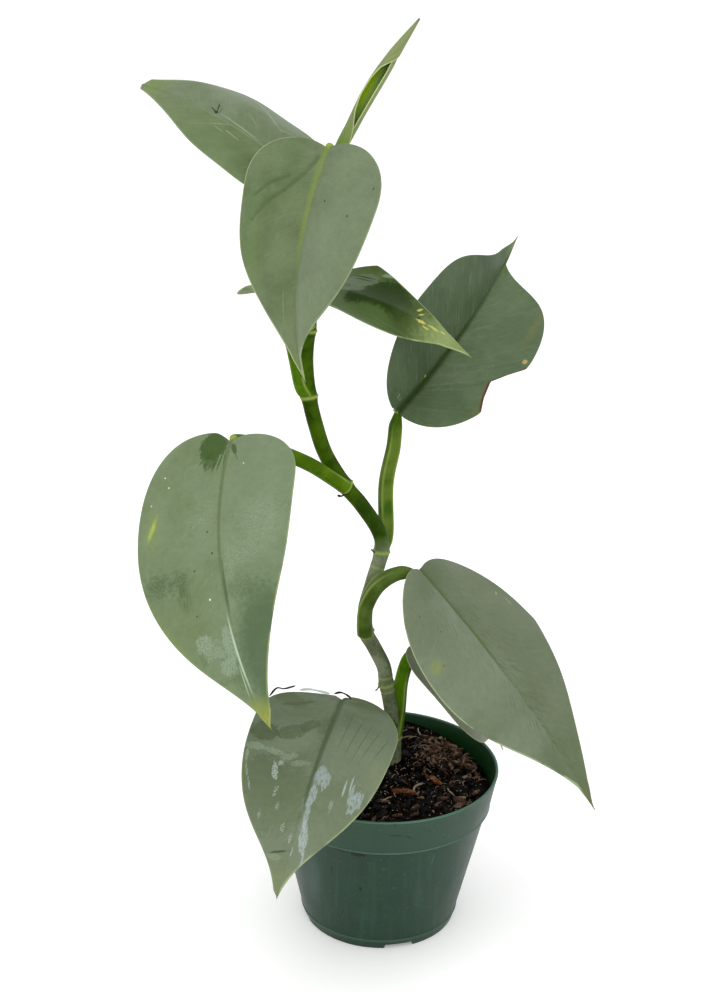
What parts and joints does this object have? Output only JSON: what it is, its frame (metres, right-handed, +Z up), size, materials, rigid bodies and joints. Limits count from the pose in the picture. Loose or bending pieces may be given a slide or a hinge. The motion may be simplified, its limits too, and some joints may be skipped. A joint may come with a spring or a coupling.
{
  "type": "potted philodendron",
  "caption": "Young climbing houseplant with large arrow-shaped silver-green leaves on a zigzag stem, rooted in bark soil in a small round tapered nursery pot.",
  "frame": {"origin": "the middle of the base of the bounding box, in the plane that the pot's foot stands on; the pot's axis is at x 0.0105, y 0.0003", "axes": "+Z up; -Y towards a viewer in front; +X to that viewer's right"},
  "size_m": [0.2062, 0.2308, 0.4097],
  "materials": {
    "pot_plastic": "moulded satin polypropylene",
    "potting_soil": "damp bark and peat",
    "green_stem": "smooth green stem",
    "silver_leaf": "waxy leaf blade with a silvery bloom"
  },
  "bodies": {
    "root": {"pot": "pot_plastic", "soil": "potting_soil", "stem": "green_stem", "leaf_top_front": "silver_leaf", "leaf_top_left": "silver_leaf", "leaf_behind_stem": "silver_leaf", "leaf_right_upper": "silver_leaf", "leaf_middle_left": "silver_leaf", "leaf_lower_right": "silver_leaf", "leaf_lower_front": "silver_leaf", "leaf_lower_back": "silver_leaf", "leaf_new_rolled": "silver_leaf"}
  },
  "joints": []
}
